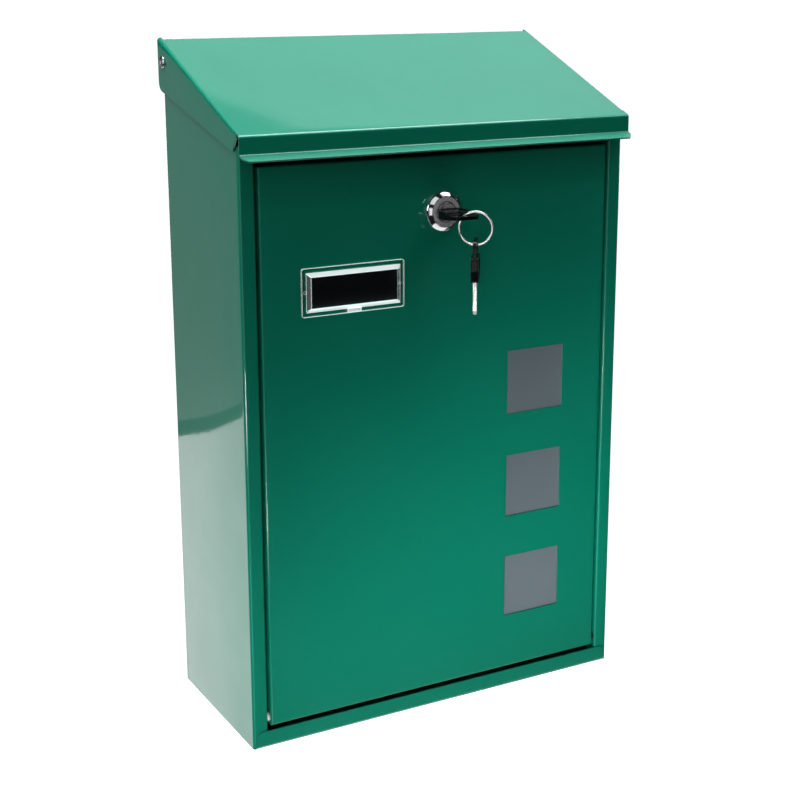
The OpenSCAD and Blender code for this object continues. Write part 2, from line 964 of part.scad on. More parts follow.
// Outline of a key's blade: the tip points to +Y, the shoulder lies at Y = 0
module blade_outline() {
    tip = 2.2;
    cut_deep = [0.9, 1.5, 0.6, 1.2];
    half = blade_w / 2;
    difference() {
        polygon([
            [-half, -stem_len],
            [half, -stem_len],
            [half, blade_len - tip],
            [half - tip, blade_len],
            [-half + tip, blade_len],
            [-half, blade_len - tip]
        ]);
        for (i = [0:len(cut_deep) - 1])
            translate([half, wafer_y(i) - plug_front + wafer_t / 2])
                circle(r = cut_deep[i], $fn = 4);
    }
}

// Steel blade of a key, flat in X and Y
module key_blade() {
    groove_w = 1.2;
    groove_deep = 0.5;
    difference() {
        translate([0, 0, -blade_t / 2])
            linear_extrude(blade_t)
                blade_outline();
        block(
            [-groove_w / 2, 0.5, blade_t / 2 - groove_deep],
            [groove_w / 2, blade_len + 1, blade_t]
        );
    }
}

// Moulded head of a key, with a thin tab and its eye
module key_head() {
    half = head_w / 2;
    full_len = head_len - tab_len;
    difference() {
        union() {
            translate([0, 0, -head_t / 2])
                linear_extrude(head_t)
                    rounded_outline(
                        [
                            [-neck_w / 2, 0],
                            [-half, -full_len * 0.45],
                            [-half, -full_len],
                            [half, -full_len],
                            [half, -full_len * 0.45],
                            [neck_w / 2, 0]
                        ],
                        [1, 3, 1.2, 1.2, 3, 1]
                    );
            translate([0, 0, -tab_t / 2])
                linear_extrude(tab_t)
                    rounded_outline(
                        [
                            [-half, -head_len],
                            [half, -head_len],
                            [half, -full_len + 2],
                            [-half, -full_len + 2]
                        ],
                        [4, 4, 0, 0]
                    );
        }
        translate([0, -head_len + eye_in, -head_t])
            cylinder(r = eye_r, h = 2 * head_t);
        block(
            [-blade_w / 2, -stem_len, -blade_t / 2],
            [blade_w / 2, 1, blade_t / 2]
        );
    }
}

// Places a key in the plug
module at_key_1() {
    in_body() translate([0, key_face_y, lock_z]) children();
}

// Places the spare key at the lowest point of the ring, with its cuts towards the door
module at_key_2() {
    in_body()
    translate([ring_mid.x, ring_mid.y, eye_2_z])
    rotate([0, 0, -ring_yaw])
    rotate([0, 90, 0])
    rotate([0, 0, -90])
    translate([0, head_len - eye_in, 0])
    rotate([0, 180, 0])
        children();
}

// Blade of the key in the lock
module key_1_blade() {
    color(steel) at_key_1() key_blade();
}

// Head of the key in the lock
module key_1_head() {
    color([0.06, 0.06, 0.06]) at_key_1() key_head();
}

// Split ring through the eyes of both keys
module key_ring() {
    corner = 0.4;
    color(steel)
    in_body()
    translate(ring_mid)
    rotate([0, 0, -ring_yaw])
    rotate([90, 0, 0])
    rotate_extrude($fn = 96)
        translate([ring_r, 0])
            rounded_rect(ring_t, ring_w, corner);
}

// Blade of the spare key
module key_2_blade() {
    color(steel) at_key_2() key_blade();
}

// Head of the spare key
module key_2_head() {
    color([0.06, 0.06, 0.06]) at_key_2() key_head();
}

housing_wrap();
bottom_panel();
front_top_rail();
door_hinge_pins();
lid_pivot_rivets();
lid_pivot_washers();
lid();
door_panel();
window_strip();
name_plate_cover();
name_card();
name_plate_clips();
lock_housing();
lock_nut();
lock_plug();
lock_wafers();
lock_cam();
cam_washer();
cam_screw();
key_1_blade();
key_1_head();
key_ring();
key_2_blade();
key_2_head();
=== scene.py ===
import math

import bmesh
import bpy
from mathutils import Matrix, Vector


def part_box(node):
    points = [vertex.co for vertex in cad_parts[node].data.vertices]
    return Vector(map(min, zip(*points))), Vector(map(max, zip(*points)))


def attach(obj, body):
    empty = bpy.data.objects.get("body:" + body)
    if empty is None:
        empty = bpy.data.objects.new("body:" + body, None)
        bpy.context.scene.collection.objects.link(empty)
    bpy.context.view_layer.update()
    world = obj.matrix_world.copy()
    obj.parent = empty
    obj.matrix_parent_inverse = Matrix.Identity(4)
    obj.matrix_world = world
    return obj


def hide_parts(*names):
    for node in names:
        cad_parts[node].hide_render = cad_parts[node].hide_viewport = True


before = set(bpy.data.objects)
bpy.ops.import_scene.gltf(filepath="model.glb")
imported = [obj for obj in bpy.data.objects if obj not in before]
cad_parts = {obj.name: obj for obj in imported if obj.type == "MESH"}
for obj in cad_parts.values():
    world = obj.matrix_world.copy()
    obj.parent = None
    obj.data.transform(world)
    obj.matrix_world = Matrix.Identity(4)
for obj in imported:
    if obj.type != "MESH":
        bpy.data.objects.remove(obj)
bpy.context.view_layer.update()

MM = 0.001

# Sizes of the keys, ring, lock and name plate, in metres, as in the frame. Only the tab is thinner
# and the eye's opening wider, which leaves the two-turn ring room to swing.
RING_YAW = math.radians(34)
RING_MEAN_R = 8.3 * MM
RING_T = 1.3 * MM
RING_W = 1.6 * MM
HEAD_LEN = 21.5 * MM
HEAD_W = 15.6 * MM
HEAD_T = 3.8 * MM
TAB_LEN = 8.5 * MM
TAB_T = 1.8 * MM
EYE_R = 2.6 * MM
EYE_OPEN_R = 3.0 * MM
EYE_IN = 4.7 * MM
HANG_GAP = 0.2 * MM
NECK_W = 11 * MM
BARREL_FLAT = 15.8 * MM
THUMB_W = 7 * MM
THUMB_H = 3.0 * MM
PLATE_T = 1.05 * MM
PEG_DEEP = 3 * MM

# Linear colours.
GREEN = (0.0012, 0.255, 0.158, 1)
GREEN_DEEP = (0.001, 0.235, 0.144, 1)
GREEN_FLECK = (0.01, 0.33, 0.24, 1)
# Deep green of the painted shade along sharp edges and folds.
GREEN_EDGE_SHADE = (0.0006, 0.075, 0.048, 1)
SHEEN_TINT = (0.25, 1.0, 0.85, 1)


def middle(node):
    """Centre of a CAD node's box."""
    low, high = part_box(node)
    return (low + high) / 2


# Materials


class Shader:
    """A Principled material built from procedural nodes."""

    def __init__(self, name, **settings):
        self.mat = bpy.data.materials.new(name)
        self.mat.use_nodes = True
        self.tree = self.mat.node_tree
        self.tree.nodes.clear()
        self.bsdf = self.add("ShaderNodeBsdfPrincipled", **settings)
        self.out = self.add("ShaderNodeOutputMaterial")
        self.link(self.bsdf.outputs[0], self.out.inputs["Surface"])
        self.place = self.add("ShaderNodeTexCoord").outputs["Object"]

    def add(self, kind, props=None, **inputs):
        made = self.tree.nodes.new(kind)
        for key, value in (props or {}).items():
            setattr(made, key, value)
        for key, value in inputs.items():
            self.feed(made.inputs[key.replace("_", " ")], value)
        return made

    def link(self, source, target):
        self.tree.links.new(source, target)

    def feed(self, socket, value):
        """Links a socket to the value if it is one, and otherwise sets it."""
        if isinstance(value, bpy.types.NodeSocket):
            self.link(value, socket)
        else:
            socket.default_value = value

    def drive(self, socket, source):
        self.link(source, self.bsdf.inputs[socket])

    def stretched(self, factors):
        """The texture's place, drawn out along the axes with the smaller factors."""
        return self.add("ShaderNodeMapping", Vector=self.place, Scale=factors).outputs[0]

    def noise(self, scale, detail=2.0, roughness=0.5, place=None):
        made = self.add("ShaderNodeTexNoise", Scale=scale, Detail=detail, Roughness=roughness)
        self.link(place or self.place, made.inputs["Vector"])
        return made.outputs["Fac"]

    def span(self, value, low, high, to_low=0.0, to_high=1.0):
        """Maps low to high onto to_low to to_high."""
        made = self.add("ShaderNodeMapRange", Value=value)
        for key, number in (
            ("From Min", low),
            ("From Max", high),
            ("To Min", to_low),
            ("To Max", to_high),
        ):
            made.inputs[key].default_value = number
        return made.outputs[0]

    def math(self, operation, a, b=0.0):
        made = self.add("ShaderNodeMath", {"operation": operation})
        for socket, value in zip(made.inputs, (a, b)):
            self.feed(socket, value)
        return made.outputs[0]

    def mix(self, share, a, b):
        made = self.add("ShaderNodeMix", {"data_type": "RGBA"})
        for place, value in ((0, share), (6, a), (7, b)):
            self.feed(made.inputs[place], value)
        return made.outputs[2]

    def bump(self, height, distance, under=None):
        made = self.add("ShaderNodeBump", Height=height, Distance=distance, Strength=1.0)
        if under is not None:
            self.link(under, made.inputs["Normal"])
        return made.outputs[0]

    def edges(self, radius):
        """Near 1 along sharp edges and 0 on open faces."""
        flat = self.add("ShaderNodeNewGeometry").outputs["Normal"]
        dot = self.add("ShaderNodeVectorMath", {"operation": "DOT_PRODUCT"})
        self.link(self.rounded(radius), dot.inputs[0])
        self.link(flat, dot.inputs[1])
        return self.span(dot.outputs["Value"], 0.99, 0.8)

    def rounded(self, radius):
        """Normals that turn smoothly over a sharp edge."""
        return self.add("ShaderNodeBevel", {"samples": 4}, Radius=radius).outputs[0]


def powder_coat():
    """Glossy green powder coat with orange peel, faint cloudiness and darker edges: painted shade
    along the folds and edges, in patches like thinner paint.
    """
    s = Shader("powder_coat_green", Roughness=0.42, IOR=1.5)
    cloud = s.noise(6, 3)
    fleck = s.noise(1500, 1)
    tone = s.mix(s.span(cloud, 0.3, 0.7), GREEN_DEEP, GREEN)
    tone = s.mix(s.span(fleck, 0.62, 0.8, 0, 0.25), tone, GREEN_FLECK)
    # Painted shade: sharp edges and folds darken in patches towards a deep green, for the shade at the
    # folds as well as thinner paint.
    edge_wear_and_shade = s.math("MULTIPLY", s.edges(0.8 * MM), s.span(s.noise(60, 3), 0.3, 0.6, 0.5, 0.85))
    s.drive("Base Color", s.mix(edge_wear_and_shade, tone, GREEN_EDGE_SHADE))
    s.drive("Roughness", s.span(s.noise(25, 3), 0.3, 0.7, 0.36, 0.48))
    soft = s.rounded(0.35 * MM)
    sheet = s.bump(s.noise(5, 1), 0.25 * MM, soft)
    peel = s.bump(s.noise(420, 1.5, 0.4), 0.011 * MM, sheet)
    s.drive("Normal", peel)
    s.drive("Coat Normal", peel)
    s.bsdf.inputs["Specular Tint"].default_value = SHEEN_TINT
    s.bsdf.inputs["Coat Weight"].default_value = 1.0
    s.bsdf.inputs["Coat Roughness"].default_value = 0.045
    s.bsdf.inputs["Coat IOR"].default_value = 1.55
    return s.mat


def plated(name, light, dark, low, high, scratch, radius):
    """Plated or polished metal with fine scratches and slight clouding, its depths in mm."""
    s = Shader(name, Metallic=1.0)
    cloud = s.noise(180, 3)
    s.drive("Base Color", s.mix(s.span(cloud, 0.3, 0.7), dark, light))
    s.drive("Roughness", s.span(s.noise(320, 3), 0.3, 0.7, low, high))
    lines = s.noise(900, 2, 0.6, s.stretched((1, 1, 14)))
    s.drive("Normal", s.bump(lines, scratch * MM, s.rounded(radius * MM)))
    return s.mat


def plug_face():
    """Satin cast plug: a smooth band and a turned groove round a rougher, stamped middle; the groove
    is coloured near-black as painted shade.
    """
    s = Shader("cast_plug_chrome", Metallic=0.35)
    centre = middle("lock_plug")
    groove_r = 5.2 * MM
    place = s.add("ShaderNodeSeparateXYZ", Vector=s.place)
    across = s.math("SUBTRACT", place.outputs["X"], centre.x)
    above = s.math("SUBTRACT", place.outputs["Z"], centre.z)
    squares = s.math("ADD", s.math("POWER", across, 2.0), s.math("POWER", above, 2.0))
    radius = s.math("SQRT", squares)
    off_groove = s.math("ABSOLUTE", s.math("SUBTRACT", radius, groove_r))
    groove = s.span(off_groove, 0.1 * MM, 0.3 * MM, 1, 0)
    inner = s.span(radius, groove_r - 0.3 * MM, groove_r - 0.1 * MM, 1, 0)
    stamped = s.math("MULTIPLY", inner, s.span(s.noise(900, 3), 0.42, 0.58))
    tone = s.mix(s.noise(300, 3), (0.75, 0.75, 0.77, 1), (0.95, 0.95, 0.96, 1))
    tone = s.mix(stamped, tone, (0.3, 0.3, 0.32, 1))
    # Painted shade: the turned groove is coloured near-black for the shade that falls into it.
    s.drive("Base Color", s.mix(groove, tone, (0.02, 0.02, 0.022, 1)))
    s.drive("Roughness", s.span(s.noise(320, 3), 0.3, 0.7, 0.25, 0.45))
    s.drive("Normal", s.bump(s.math("SUBTRACT", s.math("MULTIPLY", stamped, -0.4), groove), 0.1 * MM))
    return s.mat


def key_plastic():
    """Smooth black moulded plastic with a very fine grain."""
    s = Shader("black_key_plastic", IOR=1.5)
    s.bsdf.inputs["Specular IOR Level"].default_value = 0.2
    cloud = s.span(s.noise(90, 3), 0.3, 0.7)
    s.drive("Base Color", s.mix(cloud, (0.003, 0.003, 0.004, 1), (0.006, 0.006, 0.007, 1)))
    s.drive("Roughness", s.span(s.noise(240, 2), 0.3, 0.7, 0.12, 0.2))
    s.drive("Normal", s.bump(s.noise(1700, 2), 0.004 * MM, s.rounded(0.2 * MM)))
    return s.mat


def pin_nylon():
    """Moulded nylon, white on the left-hand hinge pin; the right-hand pin is coloured near-black green
    as painted shade, for the gap it sits in.
    """
    s = Shader("pin_nylon", IOR=1.5)
    across = s.add("ShaderNodeSeparateXYZ", Vector=s.place).outputs["X"]
    white = s.mix(s.noise(90, 3), (0.7, 0.7, 0.68, 1), (0.8, 0.8, 0.78, 1))
    # Painted shade: the right-hand pin (X above 0) takes a near-black green for the shade in the
    # door's gap.
    dark = s.mix(s.noise(90, 3), (0.008, 0.02, 0.014, 1), (0.012, 0.03, 0.02, 1))
    s.drive("Base Color", s.mix(s.math("GREATER_THAN", across, 0.0), white, dark))
    s.drive("Roughness", s.span(s.noise(240, 2), 0.3, 0.7, 0.32, 0.45))
    s.drive("Normal", s.bump(s.noise(900, 2), 0.01 * MM, s.rounded(0.2 * MM)))
    return s.mat


def frosted():
    """Frosted pane over the dark inside of the box."""
    s = Shader("frosted_pane", IOR=1.49)
    cloud = s.noise(14, 3)
    tone = s.mix(s.span(cloud, 0.3, 0.7), (0.15, 0.19, 0.215, 1), (0.18, 0.225, 0.25, 1))
    grain = s.span(s.noise(2600, 1), 0.55, 0.8, 0, 0.4)
    s.drive("Base Color", s.mix(grain, tone, (0.26, 0.31, 0.33, 1)))
    s.drive("Roughness", s.span(s.noise(160, 2), 0.3, 0.7, 0.3, 0.4))
    s.drive("Normal", s.bump(s.noise(2200, 2), 0.006 * MM))
    return s.mat


def clear_plastic():
    """Clear moulded plastic: see-through faces, with faces turned up or down, bevels and edges painted
    as glowing white highlights, and a frosted thumb tab that glows with them.
    """
    s = Shader("clear_cover_plastic", IOR=1.49, Roughness=0.3)
    low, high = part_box("name_plate_cover")
    facing = s.add("ShaderNodeSeparateXYZ", Vector=s.add("ShaderNodeTexCoord").outputs["Normal"])
    upright = s.math("ABSOLUTE", facing.outputs["Z"])
    sideways = s.math("ABSOLUTE", facing.outputs["X"])
    streaks = s.noise(260, 3, 0.6, s.stretched((0.3, 1, 3)))
    # Painted highlight: faces turned up or down, and faintly the end faces, are painted opaque white
    # where light would catch them.
    painted_highlight = s.span(upright, 0.2, 0.75, 0.0, 0.92)
    painted_highlight = s.math("MULTIPLY", painted_highlight, s.span(streaks, 0.3, 0.6, 0.8, 1.0))
    painted_end_highlight = s.span(sideways, 0.3, 0.95, 0.0, 0.06)
    # Painted highlight: the edges are painted white as well.
    lines = s.edges(0.45 * MM)
    place = s.add("ShaderNodeSeparateXYZ", Vector=s.place)
    off = s.math("ABSOLUTE", s.math("SUBTRACT", place.outputs["X"], (low.x + high.x) / 2))
    across = s.math("LESS_THAN", off, THUMB_W / 2)
    below = s.math("LESS_THAN", place.outputs["Z"], low.z + THUMB_H)
    raised = s.math("LESS_THAN", place.outputs["Y"], high.y - PEG_DEEP - PLATE_T)
    tab = s.math("MULTIPLY", s.math("MULTIPLY", across, below), raised)
    frost = s.math("MULTIPLY", tab, s.span(s.noise(1500, 2), 0.35, 0.65, 0.55, 0.85))
    glow_and_frost_share = s.math("MAXIMUM", s.math("MAXIMUM", painted_highlight, painted_end_highlight), s.math("MAXIMUM", lines, frost))
    behind = s.span(place.outputs["Y"], high.y - PEG_DEEP, high.y - 0.95 * PEG_DEEP, 1.0, 0.2)
    glow_and_frost_share = s.math("MULTIPLY", glow_and_frost_share, behind)
    tone = s.mix(s.noise(300, 2), (0.78, 0.9, 0.88, 1), (0.9, 0.96, 0.96, 1))
    # Painted glow: the opaque white parts (highlights, edges and frosted tab) glow, and the edges glow
    # brightest.
    s.drive("Base Color", tone)
    s.drive("Emission Color", tone)
    s.drive("Emission Strength", s.span(lines, 0.0, 0.95, 0.5, 1.2))
    s.drive("Normal", s.bump(s.noise(900, 2), 0.006 * MM))
    clear = s.add("ShaderNodeBsdfTransparent", Color=(0.93, 0.97, 0.96, 1))
    shine = s.add("ShaderNodeBsdfGlossy", Roughness=0.04)
    s.link(s.bump(s.noise(90, 2, 0.5, s.stretched((1, 1, 3))), 0.02 * MM), shine.inputs["Normal"])
    glance = s.add("ShaderNodeFresnel", IOR=1.3).outputs[0]
    glance = s.math("MULTIPLY", glance, s.span(sideways, 0.2, 0.8, 1.0, 0.15))
    face = s.add("ShaderNodeMixShader", Fac=glance)
    s.link(clear.outputs[0], face.inputs[1])
    s.link(shine.outputs[0], face.inputs[2])
    whole = s.add("ShaderNodeMixShader", Fac=glow_and_frost_share)
    s.link(face.outputs[0], whole.inputs[1])
    s.link(s.bsdf.outputs[0], whole.inputs[2])
    s.link(whole.outputs[0], s.out.inputs["Surface"])
    return s.mat


def card():
    """Dark coated card."""
    s = Shader("black_card", IOR=1.45)
    s.drive("Base Color", s.mix(s.noise(300, 3), (0.002, 0.0025, 0.005, 1), (0.005, 0.006, 0.01, 1)))
    s.drive("Roughness", s.span(s.noise(500, 2), 0.3, 0.7, 0.42, 0.55))
    s.drive("Normal", s.bump(s.noise(1800, 2), 0.01 * MM))
    return s.mat


PAINT = powder_coat()
# Plated metals: light and dark colour, least and most roughness, depth of scratches and edge radius.
CHROME = plated(
    "polished_chrome", (0.86, 0.86, 0.88, 1), (0.74, 0.74, 0.77, 1), 0.05, 0.13, 0.002, 0.15
)
NICKEL = plated("nickel_steel", (0.8, 0.79, 0.76, 1), (0.66, 0.65, 0.62, 1), 0.12, 0.24, 0.004, 0.15)
ZINC = plated("bright_zinc", (0.74, 0.75, 0.77, 1), (0.55, 0.57, 0.6, 1), 0.2, 0.38, 0.006, 0.12)
RING_STEEL = plated(
    "ring_steel", (0.99, 0.99, 0.98, 1), (0.92, 0.92, 0.91, 1), 0.14, 0.24, 0.003, 0.1
)
BRASS = plated("plain_brass", (0.72, 0.55, 0.26, 1), (0.6, 0.43, 0.18, 1), 0.22, 0.36, 0.004, 0.08)
CAST = plug_face()
BLACK = key_plastic()
NYLON = pin_nylon()
FROSTED = frosted()
CLEAR = clear_plastic()
CARD = card()

NODE_FINISH = {
    "housing_wrap": PAINT,
    "bottom_panel": PAINT,
    "front_top_rail": PAINT,
    "lid": PAINT,
    "door_panel": PAINT,
    "door_hinge_pins": NYLON,
    "lid_pivot_washers": ZINC,
    "window_strip": FROSTED,
    "name_plate_cover": CLEAR,
    "name_card": CARD,
    "name_plate_clips": ZINC,
    "lock_nut": ZINC,
    "lock_plug": CAST,
    "lock_wafers": BRASS,
    "lock_cam": ZINC,
    "cam_washer": ZINC,
    "cam_screw": ZINC,
    "key_1_blade": NICKEL,
    "key_2_blade": NICKEL,
}
# Radius of the rounded edges, in mm, on the pieces that are cast, cut or moulded.
EDGE_ROUND = {
    "name_plate_cover": 0.22,
    "lock_plug": 0.12,
    "lock_nut": 0.3,
    "lock_cam": 0.2,
    "cam_washer": 0.1,
    "cam_screw": 0.25,
    "door_hinge_pins": 0.3,
    "key_1_blade": 0.18,
    "key_2_blade": 0.18,
    "window_strip": 0.15,
}


def smooth(mesh):
    """Smooth shading on every face."""
    mesh.polygons.foreach_set("use_smooth", [True] * len(mesh.polygons))
    mesh.update()


def round_edges(obj, width, segments, angle):
    """Rounds the sharp edges of a piece with modifiers, and keeps its flat faces flat."""
    bevel = obj.modifiers.new("edge_round", "BEVEL")
    bevel.width = width * MM
    bevel.segments = segments
    bevel.limit_method = "ANGLE"
    bevel.angle_limit = math.radians(angle)
    obj.modifiers.new("even_normals", "WEIGHTED_NORMAL")


def finish_node(name, material):
    """Gives a CAD piece its material and either rounded or crisp edges."""
    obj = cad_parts[name]
    obj.data.materials.clear()
    obj.data.materials.append(material)
    stored = obj.data.attributes.get("custom_normal")
    if stored:
        obj.data.attributes.remove(stored)
    smooth(obj.data)
    weld = obj.modifiers.new("weld", "WELD")
    weld.merge_threshold = 0.002 * MM
    if name in EDGE_ROUND:
        round_edges(obj, EDGE_ROUND[name], 2, 32)
        return
    split = obj.modifiers.new("crisp_edges", "EDGE_SPLIT")
    split.split_angle = math.radians(24)
    split.use_edge_sharp = False


# Mesh pieces


def place_piece(name, bm, material, body, node):
    """Turns a bmesh in the row frame into a piece that rides on a body in place of a CAD node."""
    bmesh.ops.recalc_face_normals(bm, faces=bm.faces)
    mesh = bpy.data.meshes.new(name)
    bm.to_mesh(mesh)
    bm.free()
    smooth(mesh)
    mesh.materials.append(material)
    obj = bpy.data.objects.new(name, mesh)
    bpy.context.scene.collection.objects.link(obj)
    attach(obj, body)
    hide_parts(node)
    return obj


def filleted(points, radii, steps=5):
    """Closed outline with an arc of each radius at its corner."""
    made = []
    for i, (p, r) in enumerate(zip(points, radii)):
        p = Vector(p)
        a = (Vector(points[i - 1]) - p).normalized()
        b = (Vector(points[(i + 1) % len(points)]) - p).normalized()
        half = a.angle(b) / 2
        centre = p + (a + b).normalized() * (r / math.sin(half))
        start = (p + a * (r / math.tan(half))) - centre
        end = (p + b * (r / math.tan(half))) - centre
        turn = start.angle_signed(end)
        for k in range(steps + 1):
            made.append(centre + Matrix.Rotation(-turn * k / steps, 2) @ start)
    return made


def lathe(bm, profile, matrix, segments):
    """Turns a profile of (radius, height) about Z, with closed ends where the radius is 0."""
    rings = []
    for r, h in profile:
        if r == 0:
            rings.append([bm.verts.new(matrix @ Vector((0, 0, h)))])
            continue
        rings.append([
            bm.verts.new(matrix @ Vector((r * math.cos(a), r * math.sin(a), h)))
            for a in (2 * math.pi * k / segments for k in range(segments))
        ])
    for low, high in zip(rings, rings[1:]):
        for k in range(segments):
            n = (k + 1) % segments
            corners = [low[k % len(low)], low[n % len(low)], high[n % len(high)], high[k % len(high)]]
            unique = list(dict.fromkeys(corners))
            if len(unique) > 2:
                bm.faces.new(unique)


def slab(bm, outline, holes, low, high, matrix):
    """Plate with a flat outline and holes, between two heights."""
    edges = []
    for loop in [outline, *holes]:
        verts = [bm.verts.new((p[0], p[1], low)) for p in loop]
        edges += [bm.edges.new((verts[i - 1], verts[i])) for i in range(len(verts))]
    fill = bmesh.ops.triangle_fill(bm, use_beauty=True, use_dissolve=False, edges=edges)
    faces = [f for f in fill["geom"] if isinstance(f, bmesh.types.BMFace)]
    if not holes:
        filled = set(faces)
        verts = list({v for f in faces for v in f.verts})
        bmesh.ops.dissolve_limit(bm, angle_limit=0.01, verts=verts, edges=[])
        faces = [f for f in bm.faces if f in filled]
    grown = bmesh.ops.extrude_face_region(bm, geom=faces)
    top = [v for v in grown["geom"] if isinstance(v, bmesh.types.BMVert)]
    bmesh.ops.translate(bm, verts=top, vec=(0, 0, high - low))
    bmesh.ops.transform(bm, matrix=matrix, verts=[v for v in bm.verts if not v.tag])
    for v in bm.verts:
        v.tag = True


def circle(radius, centre):
    """Points round a circle."""
    count = 40
    return [
        (centre[0] + radius * math.cos(a), centre[1] + radius * math.sin(a))
        for a in (2 * math.pi * k / count for k in range(count))
    ]


def key_head(name, matrix, body, node):
    """Moulded head of a key: a waisted grip with a sunk panel, a rounded shoulder and a thin tab."""
    half = HEAD_W / 2
    full = HEAD_LEN - TAB_LEN
    neck = -0.05 * MM
    waist = -full * 0.45
    neck_r, waist_r, foot_r = 1.2 * MM, 3 * MM, 1.6 * MM
    grip = filleted(
        [
            (-NECK_W / 2, neck),
            (NECK_W / 2, neck),
            (half, waist),
            (half, -full),
            (-half, -full),
            (-half, waist),
        ],
        [neck_r, neck_r, waist_r, foot_r, foot_r, waist_r],
    )
    tab_top = -full + 2 * MM
    tab_r, tab_end_r = 0.6 * MM, 4 * MM
    tab = filleted(
        [(-half, tab_top), (half, tab_top), (half, -HEAD_LEN), (-half, -HEAD_LEN)],
        [tab_r, tab_r, tab_end_r, tab_end_r],
        8,
    )
    rim_w = 1.5 * MM
    panel_share = 0.78
    panel_sunk = 0.35 * MM
    rim_t = 0.5 * MM
    panel = [
        ((half - rim_w) / half * p.x, (p.y + full / 2) * panel_share - full / 2) for p in grip
    ]
    bm = bmesh.new()
    slab(bm, grip, [], -HEAD_T / 2 + panel_sunk, HEAD_T / 2 - panel_sunk, matrix)
    for side in (-1, 1):
        heights = sorted((side * (HEAD_T / 2 - rim_t), side * (HEAD_T / 2)))
        slab(bm, grip, [panel], heights[0], heights[1], matrix)
    slab(bm, tab, [circle(EYE_OPEN_R, (0, -HEAD_LEN + EYE_IN))], -TAB_T / 2, TAB_T / 2, matrix)
    obj = place_piece(name, bm, BLACK, body, node)
    round_edges(obj, 0.5, 4, 40)


def key_places():
    """Matrices of the two keys: shoulder at the origin, tip to +Y, flat in X and Y."""
    low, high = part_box("key_1_head")
    first = Matrix.Translation(((low.x + high.x) / 2, high.y, (low.z + high.z) / 2))
    eye = middle("key_ring")
    ring_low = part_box("key_ring")[0].z + RING_T / 2
    hang = EYE_R - RING_T / 2 - HANG_GAP
    second = (
        Matrix.Translation((eye.x, eye.y, ring_low - hang))
        @ Matrix.Rotation(-RING_YAW, 4, "Z")
        @ Matrix.Rotation(math.pi / 2, 4, "Y")
        @ Matrix.Rotation(-math.pi / 2, 4, "Z")
        @ Matrix.Translation((0, HEAD_LEN - EYE_IN, 0))
        @ Matrix.Rotation(math.pi, 4, "Y")
    )
    return first, second


def split_ring():
    """Two turns of flat wire side by side, with a crank where one turn passes to the other."""
    steps = 240
    turns = 2
    crank = math.radians(22)
    centre = middle("key_ring")
    matrix = (
        Matrix.Translation(centre)
        @ Matrix.Rotation(-RING_YAW, 4, "Z")
        @ Matrix.Rotation(math.pi / 2, 4, "X")
        @ Matrix.Rotation(math.radians(200), 4, "Z")
    )
    half_r = RING_T * 0.42
    half_w = RING_W / 4
    apart = half_w * 1.02
    section = filleted(
        [(-half_r, -half_w), (half_r, -half_w), (half_r, half_w), (-half_r, half_w)],
        [0.16 * MM] * 4,
        3,
    )
    bm = bmesh.new()
    loops = []
    start, end = crank, 2 * math.pi * turns - crank
    for k in range(steps + 1):
        a = start + (end - start) * k / steps
        t = min(1, max(0, (a - 2 * math.pi + crank) / (2 * crank)))
        shift = (t * t * (3 - 2 * t) * 2 - 1) * apart
        out = Vector((math.cos(a), math.sin(a), 0))
        loops.append([
            bm.verts.new(matrix @ (out * (RING_MEAN_R + p[0]) + Vector((0, 0, p[1] + shift))))
            for p in section
        ])
    count = len(section)
    for a, b in zip(loops, loops[1:]):
        for k in range(count):
            n = (k + 1) % count
            bm.faces.new((a[k], a[n], b[n], b[k]))
    bm.faces.new(loops[0])
    bm.faces.new(loops[-1])
    place_piece("split_ring", bm, RING_STEEL, "ring", "key_ring")


def rivets():
    """Blind rivets with a domed, hollow head outside and a set tail inside."""
    low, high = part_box("lid_pivot_rivets")
    head_r = (high.z - low.z) / 2
    head_t = 1.3 * MM
    hollow = 1.05 * MM
    shank = 2.0 * MM
    rim = 0.25
    grip = 2.2 * MM
    tail_end = 3.9 * MM
    dome = [
        (hollow + (head_r - hollow) * math.sin(a), head_t * (rim + (1 - rim) * math.cos(a)))
        for a in (math.radians(d) for d in range(0, 91, 9))
    ]
    mandrel = [(0, head_t * 0.1), (hollow * 0.55, head_t * 0.12), (hollow * 0.8, head_t * 0.2)]
    wall = [(hollow * 0.95, head_t * 0.7)]
    under = [(head_r, 0.0), (shank, 0.0), (shank, -grip)]
    tail = [
        (shank + 0.7 * MM, -grip - 0.1 * MM),
        (shank + 0.9 * MM, -grip - 0.7 * MM),
        (shank + 0.4 * MM, -grip - 1.4 * MM),
        (shank * 0.5, -tail_end),
        (0, -tail_end),
    ]
    profile = mandrel + wall + dome + under + tail
    bm = bmesh.new()
    for side in (-1, 1):
        x = high.x - head_t if side > 0 else low.x + head_t
        matrix = Matrix.Translation((x, (low.y + high.y) / 2, (low.z + high.z) / 2))
        lathe(bm, profile, matrix @ Matrix.Rotation(side * math.pi / 2, 4, "Y"), 64)
    place_piece("pivot_rivets", bm, ZINC, "housing", "lid_pivot_rivets")


